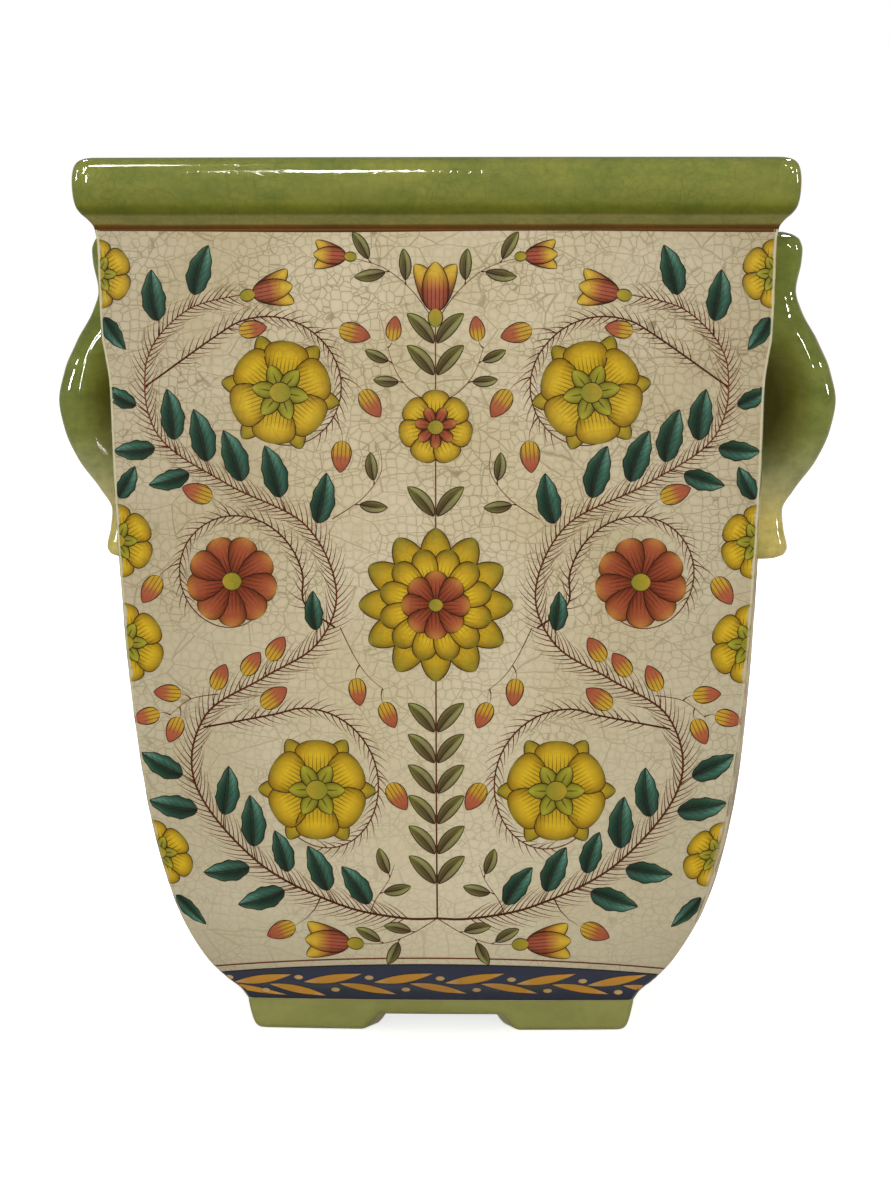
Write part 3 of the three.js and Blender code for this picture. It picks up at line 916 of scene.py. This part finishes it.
# %% [markdown]
# ## The print: blades on the skin
# A blade's mid-line is an arc, and its half width follows an outline for its kind:
# pointed for a leaf, round-ended for a petal, a circle for a flower's heart. All the
# blades of one kind are worked out as one array, wrapped on the skin, turned to the
# four faces and joined in one piece. Each layer lies a few hundredths of a millimetre
# above the one below, as printed colours do. The points carry measures in
# millimetres, from which the materials draw outlines and veins of an even weight.


# %% Outlines of the kinds, as half widths by the share s of the length
def petal(s, t):
    """Round-ended blade that widens from its foot."""
    return s ** 0.6 * np.sqrt(1 - s ** 4) / 0.74


def wavy_leaf(s, t):
    """Pointed blade whose two margins wave out of step."""
    return s ** 0.6 * (1 - s) ** 0.85 / 0.374 * (1 + 0.07 * np.sin(21 * s + 1.3 * np.sign(t)))


def pointed(foot, tip, widest):
    """Outline s^foot (1 - s)^tip, divided by its own greatest value."""
    return lambda s, t: s ** foot * (1 - s) ** tip / widest


OUTLINES = {
    "teal_leaves": wavy_leaf,
    "olive_leaves": pointed(0.7, 0.75, 0.365),
    "yellow_petals": petal,
    "yellow_points": pointed(0.8, 0.6, 0.364),
    "coral_petals": petal,
    "tulip_petals": pointed(0.45, 0.6, 0.49),
    "buds": pointed(0.5, 0.75, 0.431),
    "hearts": lambda s, t: 2 * np.sqrt(s * (1 - s)),
    "sepals": pointed(0.75, 0.7, 0.366),
    "hairs": lambda s, t: 1 - 0.8 * s,
}


# %% Blades and stems as grids
SHORT_OF_END = 0.0005


def blade_grids(rows, outline, about_arris, steps, columns):
    """Places and values of blades. With heading h and bend b, the arc's chord to a
    share s of the length L is L s sinc(b s / 2) at heading h + b (s - 1) / 2, and the
    points stand off it by the half width times the outline. The blade stops a hair
    short of its ends, so that no quad closes to a line. Where about_arris is 1, its
    foot is measured from the corner, and otherwise from the middle of the face."""
    x, z, heading, length, width, bend, lift, tint = rows.T[:, :, None, None]
    s = (1 - np.cos(np.linspace(0, math.pi, steps))) / 2
    s = np.clip(s, SHORT_OF_END, 1 - SHORT_OF_END)[None, :, None]
    t = np.linspace(-1, 1, columns)[None, None, :]
    turn = np.radians(bend)
    first = np.radians(heading) - turn / 2
    chord = length * s * np.sinc(turn * s / 2 / math.pi)
    half_width = width * outline(s, t)
    side = half_width * t
    facing = first + turn * s
    across = x + chord * np.cos(first + turn * s / 2) - side * np.sin(facing)
    up = z + chord * np.sin(first + turn * s / 2) + side * np.cos(facing)
    edge = half_width * (1 - np.abs(t))
    values = {"along": s, "run": length * s, "side": side, "edge": edge, "breadth": t, "tint": tint}
    return across + about_arris * wall_half(up), up, lift, values


def stem_grids(chosen, sign):
    """Places and values of stems: three points across at each step, at half widths
    that fall evenly from foot to tip. A sign of -1 gives their mirror image."""
    path = np.stack([stem[0] for stem in chosen]) * [sign, 1]
    foot, tip = (np.array([stem[i] for stem in chosen], float)[:, None, None] for i in (1, 2))
    slope = np.gradient(path, axis=1)
    slope /= np.linalg.norm(slope, axis=-1, keepdims=True)
    s = np.linspace(0, 1, path.shape[1])[None, :, None]
    t = np.linspace(-1, 1, 3)[None, None, :]
    half_width = (foot + (tip - foot) * s) / 2
    across = path[..., :1] - slope[..., 1:] * half_width * t
    up = path[..., 1:] + slope[..., :1] * half_width * t
    return across, up, STEM_LIFT, {"along": s, "edge": half_width * (1 - np.abs(t))}


def add_print(name, parts):
    """One piece of all the grids given, wrapped on the skin of all four faces."""
    points, faces, values, count = [], [], {}, 0
    for across, up, lift, found in parts:
        place = on_skin(across, up, lift)
        grids, rows, columns = place.shape[:3]
        cells = quads(rows, columns)[None] + rows * columns * np.arange(grids)[:, None, None]
        found = {**found, "arris": np.abs(to_arris(across, up))}
        for quarter in range(4):
            points.append(turned(place, quarter).reshape(-1, 3))
            faces.append(cells.reshape(-1, 4) + count)
            count += grids * rows * columns
            for label, numbers in found.items():
                values.setdefault(label, []).append(np.broadcast_to(numbers, up.shape).ravel())
    values = {label: np.concatenate(numbers) for label, numbers in values.items()}
    piece = add_piece(name, np.concatenate(points), np.concatenate(faces), values, sharp=180)
    return piece


# %% Wrap the print
# In the mirror image of a blade its place across and its bend change sign, and its
# heading is taken from 180 degrees.
MIRROR_SIGNS = np.array([-1, 1, -1, 1, 1, -1, 1, 1])
MIRROR_SHIFT = np.array([0, 0, 180, 0, 0, 0, 0, 0])


def fineness(kind, spread):
    """Steps along a blade and points across it: few for a hair, and more for a blade
    that bends round an arris."""
    if kind == "hairs":
        return 6, 2
    return (21, 7) if spread == "corner" else (19, 5)


print_pieces = {}
for kind, outline in OUTLINES.items():
    parts = []
    for spread in ("pair", "once", "corner"):
        if (kind, spread) not in printed:
            continue
        rows = np.concatenate(printed[kind, spread])
        if spread == "pair":
            rows = np.concatenate([rows, rows * MIRROR_SIGNS + MIRROR_SHIFT])
        parts.append(blade_grids(rows, outline, float(spread == "corner"), *fineness(kind, spread)))
    print_pieces[kind] = add_print("print_" + kind, parts)
pairs = [stem for stem in stems if stem[3] == "pair"]
single = [stem for stem in stems if stem[3] == "once"]
print_pieces["stems"] = add_print("print_stems", [
    stem_grids(pairs, 1.0), stem_grids(pairs, -1.0), stem_grids(single, 1.0),
])

# %% [markdown]
# ## The band, the pinstripe and the painted line
# Above the foot runs a dark blue band with a row of paired ochre leaves and dots, then
# a thin brown pinstripe. The band's upper edge and the pinstripe sag towards the
# corners by some 6 mm, because they were laid level on a wall that leans out. A brushed
# brown line closes the top of the wall and runs up on the rim's lower edge. All of
# them are strips of the same map, read between two edges.

# %% Strips round the foot and under the rim
BAND_BOTTOM = 11.9
BAND_HALF = 84


def band_top(across):
    """Height of the blue band's upper edge, which falls away to both corners."""
    return 28.8 - 5.6 * np.minimum(np.abs(across) / BAND_HALF, 1) ** 2


def strip_grid(low, high, lift, rows):
    """Strip across one face between two edges, given as functions of the distance
    from the middle of the face. Its columns stand closer together near the corners."""
    v = np.linspace(0, 1, rows)[:, None]
    share = np.linspace(-1, 1, 101)[None, :]
    share = np.sign(share) * (1 - (1 - np.abs(share)) ** 1.25)
    bottom = low(share * BAND_HALF)
    rise = high(share * BAND_HALF) - bottom
    up = bottom + v * rise
    across = share * wall_half(up)
    edge = rise * np.minimum(v, 1 - v)
    values = {"along": v, "edge": edge, "side": 0.0, "breadth": 0.0, "run": across, "tint": 0.5}
    return across[None], up[None], lift, values


for name, low, high, lift, rows in (
    ("band_blue_ground", lambda x: 0 * x + BAND_BOTTOM, band_top, 0.04, 29),
    ("band_pinstripe", lambda x: band_top(x) + 2.1, lambda x: band_top(x) + 2.7, 0.04, 3),
    ("painted_line_under_rim", lambda x: 289.5 + 0.25 * np.sin(x / 17), lambda x: 0 * x + 290.4, 0.05, 5),
):
    print_pieces[name] = add_print(name, [strip_grid(low, high, lift, rows)])

# %% Leaves and dots on the band
BAND_LEAVES = 6
pitch = 2 * wall_half(20) / BAND_LEAVES
leaf_x = (np.arange(BAND_LEAVES) - (BAND_LEAVES - 1) / 2) * pitch
middle = BAND_BOTTOM + 0.5 * (band_top(leaf_x) - BAND_BOTTOM)
upper = blades(leaf_x - 11.5, middle, 11.5, 24.0, 2.15, 8.0, 0.11, 0.4)
lower = blades(leaf_x + 1.5, middle - 0.2, -13.5, 23.0, 2.0, -6.0, 0.09, 0.6)
dots = blades(
    np.concatenate([leaf_x - 14, leaf_x - 1]), np.concatenate([middle + 2.2, middle - 3.4]),
    0.0, 3.3, 1.2, 0.0, 0.1, 0.2,
)
leaves = np.concatenate([upper, lower])
for name, rows, outline, steps in (
    ("band_leaves", leaves, lambda s, t: np.sin(math.pi * s ** 0.9), 19),
    ("band_dots", dots, OUTLINES["hearts"], 9),
):
    print_pieces[name] = add_print(name, [blade_grids(rows, outline, 0.0, steps, 7)])

# %% [markdown]
# ## The print's colours
# Underglaze colours: copper teal, olive, ochre yellow, iron coral and cobalt blue,
# each shaded along the blade by the printer and drawn with a fine brown outline. The
# cracks run through them all, because the glaze lies on top.

# %% Printed materials
MEASURES = ("arris", "along", "run", "side", "edge", "breadth", "tint")
VEIN_GAP = 2.8
RAY_GAP = 1.4


def printed_material(name, shades, sides=None, drawing=None, outline=0.4, ink="#2c1a08", shown=0.4):
    """Printed colour: shades along the blade times shades across it, drawn lines over
    them and an outline of an even width in millimetres, under the crackled glaze."""
    material, tree, at = start_material(name, MEASURES)
    tint = add(tree, "Math", at["tint"], 0.16, operation="MULTIPLY")
    moved = add(tree, "Math", at["along"], tint)
    less = add(tree, "Math", moved, 0.08, operation="SUBTRACT")
    colour = add(tree, "ValToRGB", less, stops=shades)
    if sides:
        part = add(tree, "MapRange", at["breadth"], -1.0, 1.0)
        wash = add(tree, "ValToRGB", part, stops=sides)
        colour = add(tree, "Mix", {0: 1.0, 6: colour, 7: wash}, **TINT)
    if drawing:
        colour = add(tree, "Mix", {0: drawing(tree, at), 6: colour, 7: linear(ink)}, **BLEND)
    if outline:
        border = add(tree, "MapRange", at["edge"], outline * 0.6, outline * 1.3, 0.95, 0.0)
        colour = add(tree, "Mix", {0: border, 6: colour, 7: linear(ink)}, **BLEND)
    cracks = crackle(tree, at)
    glossy(tree, at, under_glaze(tree, at, colour, cracks, shown), cracks)
    return material


def lines(tree, distance, gap, width):
    """Factor of thin lines that stand a gap apart along a distance."""
    phase = add(tree, "Math", distance, gap, operation="DIVIDE")
    ping = add(tree, "Math", phase, 0.5, operation="PINGPONG")
    return add(tree, "MapRange", ping, 0.0, width, 1.0, 0.0)


def fading(tree, at, drawn, start, stop, strength):
    """Drawn lines that fade out between two shares of the blade's length."""
    fade = add(tree, "MapRange", at["along"], start, stop, strength, 0.0)
    return add(tree, "Math", drawn, fade, operation="MULTIPLY")


def rib(tree, at):
    """One dark line up the middle."""
    out = add(tree, "Math", at["side"], operation="ABSOLUTE")
    return add(tree, "MapRange", out, 0.1, 0.34, 0.85, 0.0)


def veins(tree, at):
    """Midrib, and slanting strokes that fade at the margin."""
    out = add(tree, "Math", at["side"], operation="ABSOLUTE")
    slant = add(tree, "Math", out, -1.5, at["run"], operation="MULTIPLY_ADD")
    near = add(tree, "Math", at["breadth"], operation="ABSOLUTE")
    half = add(tree, "MapRange", near, 0.45, 0.85, 0.85, 0.0)
    side = add(tree, "Math", lines(tree, slant, VEIN_GAP, 0.1), half, operation="MULTIPLY")
    return add(tree, "Math", rib(tree, at), side, operation="MAXIMUM")


def midrib(tree, at):
    """Midrib alone, gone before the tip."""
    return fading(tree, at, rib(tree, at), 0.55, 0.8, 1.0)


def rays(tree, at):
    """Lines that run up a petal and fade out towards its tip."""
    return fading(tree, at, lines(tree, at["side"], RAY_GAP, 0.17), 0.45, 0.75, 0.9)


# %% Colours of each kind
LEAF_SIDES = [
    (0.0, "#8c9c8c"), (0.25, "#ffffff"), (0.48, "#a4b2a4"),
    (0.6, "#5c6c62"), (0.8, "#94a090"), (1.0, "#d8d4bc"),
]
OLIVE_SIDES = [(0.0, "#d8dcbc"), (0.3, "#ffffff"), (0.5, "#b4a894"), (0.7, "#a0967e"), (1.0, "#ece4c8")]
PETAL_SIDES = [(0.0, "#a89c60"), (0.25, "#f4f0e0"), (0.5, "#ffffff"), (0.75, "#f4f0e0"), (1.0, "#a89c60")]
PRINT_COLOURS = {
    "teal_leaves": ([(0.0, "#345445"), (0.5, "#3f6e5b"), (1.0, "#70a48f")], LEAF_SIDES, veins),
    "olive_leaves": ([(0.0, "#7c6a4c"), (0.5, "#918a5a"), (1.0, "#a8aa60")], OLIVE_SIDES, midrib),
    "yellow_petals": (
        [(0.0, "#8c7010"), (0.25, "#c6a014"), (0.65, "#e4bd22"), (0.85, "#c6a01e"), (1.0, "#8a7a1c")],
        PETAL_SIDES, rays,
    ),
    "yellow_points": (
        [(0.0, "#8c6c10"), (0.3, "#c09812"), (0.7, "#d0aa1e"), (1.0, "#8c8224")], PETAL_SIDES, rays,
    ),
    "coral_petals": (
        [(0.0, "#7a2e10"), (0.4, "#9c4628"), (0.75, "#b05a36"), (1.0, "#c4843a")], PETAL_SIDES, rays,
    ),
    "tulip_petals": (
        [(0.0, "#a2503a"), (0.45, "#b45c40"), (0.62, "#cc8a3a"), (0.8, "#e0b636"), (1.0, "#dcb83e")],
        PETAL_SIDES, rays,
    ),
    "buds": ([(0.0, "#d2aa30"), (0.35, "#cc9a30"), (0.55, "#b8683c"), (1.0, "#a24a38")], None, rays),
    "hearts": ([(0.0, "#8c8a24"), (1.0, "#b89c2a")], None, None),
    "sepals": ([(0.0, "#7e7a1c"), (1.0, "#b4ae30")], PETAL_SIDES, midrib),
}
for kind, finish in PRINT_COLOURS.items():
    print_pieces[kind].data.materials.append(printed_material("underglaze_" + kind, *finish))
for kinds, name, shades, finish in (
    (["hairs", "stems", "band_pinstripe"], "underglaze_brown_line",
     [(0.0, "#52240e"), (1.0, "#84482a")], {"outline": 0}),
    (["band_blue_ground"], "underglaze_cobalt_band",
     [(0.0, "#2c2f3c"), (0.5, "#323a50"), (1.0, "#333848")], {"outline": 0.5, "shown": 0.2}),
    (["band_leaves"], "underglaze_ochre_leaf",
     [(0.0, "#d8b080"), (0.25, "#d29632"), (0.75, "#d8992c"), (1.0, "#dcb48a")],
     {"outline": 0.36, "ink": "#321808", "shown": 0.15}),
    (["band_dots"], "underglaze_pale_ochre_dot",
     [(0.0, "#d0a868"), (1.0, "#d8b47c")], {"outline": 0.2, "ink": "#3a1c0c", "shown": 0.15}),
    (["painted_line_under_rim"], "brushed_brown_line",
     [(0.0, "#502804"), (0.55, "#623806"), (1.0, "#72591a")], {"outline": 0, "shown": 0.15}),
):
    inked = printed_material(name, shades, **finish)
    for kind in kinds:
        print_pieces[kind].data.materials.append(inked)
print("printed pieces", {kind: piece.data.materials[0].name for kind, piece in print_pieces.items()})

# %% [markdown]
# ## Floor and light
# A plain pale floor runs to the horizon, bright where the camera sees it and kept out
# of the glaze's reflections. The light is a soft dome, dimmer in reflections, and four
# large soft panels round the pot, at a level where a colour renders about as it is
# written. A gloss surface shows its lamps as glints, so the small lamps are there for
# their reflections alone: the streak along the rim's roll, the glints on its corners
# and the broken ones down the handles. A dim warm screen behind the pot is what the
# walls mirror where they are seen edge on.

# %% Floor
FLOOR_HALF = 15.0
FLOOR_Z = -0.0002
floor_mesh = bpy.data.meshes.new("studio_floor")
corners = [(x * FLOOR_HALF, y * FLOOR_HALF, FLOOR_Z) for x, y in ((-1, -1), (1, -1), (1, 1), (-1, 1))]
floor_mesh.from_pydata(corners, [], [(0, 1, 2, 3)])
floor = bpy.data.objects.new("studio_floor", floor_mesh)
scene.collection.objects.link(floor)
floor.visible_glossy = False
# White paper is matt: it takes the pot's soft shadow and mirrors nothing.
paper, tree, at = start_material("matt_white_paper")
matt = add(tree, "BsdfDiffuse", linear("#f2f2f2"))
seen = add(tree, "LightPath", out="Is Camera Ray")
glow_level = add(tree, "Math", seen, 0.75, operation="MULTIPLY")
glow = add(tree, "Emission", linear("#ffffff"), glow_level)
add(tree, "OutputMaterial", add(tree, "AddShader", matt, glow))
floor_mesh.materials.append(paper)
floor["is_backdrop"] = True

# %% Dome
DOME_LEVEL = 0.42
MIRRORED_LESS = -0.22
world = bpy.data.worlds.new("soft_dome")
scene.world = world
world.use_nodes = True
tree = world.node_tree
tree.nodes.clear()
seen = add(tree, "LightPath", out="Is Camera Ray")
level = add(tree, "MapRange", {0: seen, 3: DOME_LEVEL, 4: 1.0})
mirrored_ray = add(tree, "LightPath", out="Is Glossy Ray")
dimmed = add(tree, "Math", mirrored_ray, MIRRORED_LESS, level, operation="MULTIPLY_ADD")
add(tree, "OutputWorld", add(tree, "Background", linear("#ffffff"), dimmed))


# %% Lamps
def add_lamp(name, place, aim, size, watts):
    """Rectangular soft lamp at a place in metres, turned towards a point."""
    data = bpy.data.lights.new(name, "AREA")
    data.shape = "RECTANGLE"
    data.size, data.size_y = size
    data.energy = watts
    lamp = bpy.data.objects.new(name, data)
    scene.collection.objects.link(lamp)
    lamp.location = place
    lamp.rotation_euler = (Vector(aim) - Vector(place)).to_track_quat("-Z", "Y").to_euler()
    lamp.visible_camera = False
    return lamp


PANELS = (
    ("front_panel", (-0.05, -2.4, 0.3), (2.0, 1.3), 29),
    ("back_panel", (0.3, 2.4, 0.9), (2.0, 1.6), 18),
    ("right_panel", (2.4, 0.2, 0.8), (2.0, 1.6), 10),
    ("left_panel", (-2.4, 0.2, 0.8), (2.0, 1.6), 10),
)
for name, place, size, watts in PANELS:
    panel = add_lamp(name, place, (0, 0, 0.12), size, watts)
    panel.visible_glossy = False
SMALL_LAMPS = (
    (-0.2, -1.9, 1.0, 0.14, 0.2), (-0.6, -1.7, 2.2, 0.16, 0.5), (0.85, -1.5, 1.9, 0.2, 0.2),
    (1.65, -0.85, 1.3, 0.14, 0.12), (1.65, -0.85, 1.05, 0.1, 0.08), (1.7, -0.8, 0.85, 0.12, 0.08),
    (2.2, 0.3, 0.95, 0.12, 0.14), (2.2, 0.3, 0.55, 0.1, 0.25), (-1.3, -1.2, 1.3, 0.2, 0.16),
    (-1.2, -1.3, 0.95, 0.14, 0.4), (-0.8, -1.75, 0.55, 0.12, 0.35), (-2.1, -0.1, 0.95, 0.16, 0.14),
    (-2.1, -0.1, 0.6, 0.14, 0.18), (-0.95, -1.5, 1.4, 0.12, 0.5), (0.9, 1.3, 2.2, 0.2, 0.5),
    (-0.9, 1.3, 2.2, 0.2, 0.5),
)
WATTS_PER_AREA = 300
for number, (x, y, z, wide, long) in enumerate(SMALL_LAMPS):
    watts = WATTS_PER_AREA * wide * long
    small_lamp = add_lamp(f"small_lamp_{number}", (x, y, z), (0, 0, 0.28), (wide, long), watts)
    small_lamp.visible_diffuse = False
far_screen = add_lamp("far_screen", (0, 3, -0.3), (0, 0, 0.1), (5, 3), 13)
far_screen.data.color = (1.0, 0.72, 0.3)
far_screen.visible_diffuse = False
print(len(PANELS), "panels and", len(SMALL_LAMPS), "small lamps")

# %% [markdown]
# ## The size shown
# Dressing must not change the pot's size, so the box of what is shown is printed in
# millimetres.

# %% Size
low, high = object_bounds()
print("shown box in mm", [round((b - a) * 1000, 1) for a, b in zip(low, high)])
